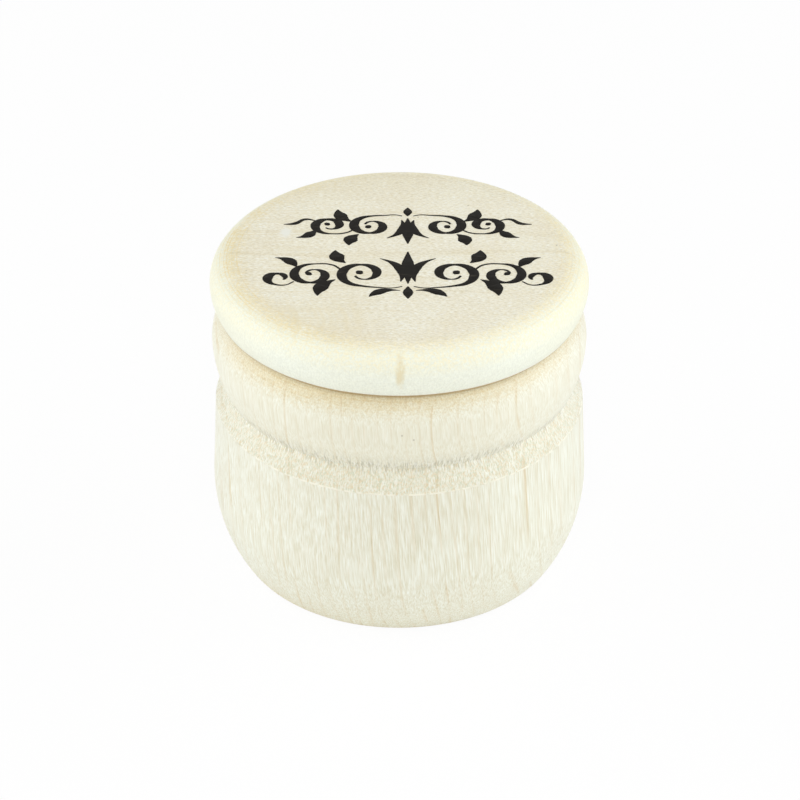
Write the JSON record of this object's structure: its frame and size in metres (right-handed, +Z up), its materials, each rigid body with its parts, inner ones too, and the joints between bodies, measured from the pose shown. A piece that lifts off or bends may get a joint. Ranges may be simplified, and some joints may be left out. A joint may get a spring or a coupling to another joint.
{
  "type": "baby tooth box",
  "caption": "Small round turned wooden box with a rolled shoulder and crisp arris, closed by a thick disc lid that pulls off its bore on a plug; it keeps milk teeth.",
  "frame": {"origin": "centre of the jar's foot, on the surface that the box stands on", "axes": "+Z up along the lathe axis, through the lid; +X along the lid's grain; the pictured front faces -Y"},
  "size_m": [0.0404, 0.0404, 0.0363],
  "materials": {
    "jar_wood": "sanded, unvarnished, upright grain",
    "lid_wood": "sanded, unvarnished, grain across, printed on top"
  },
  "bodies": {
    "jar": {"jar": "jar_wood"},
    "lid": {"lid": "lid_wood"}
  },
  "joints": [
    {"name": "lid_lift", "type": "slide", "parent": "jar", "child": "lid", "axis": [0, 0, 1], "range_m": [0, 0.03]}
  ]
}
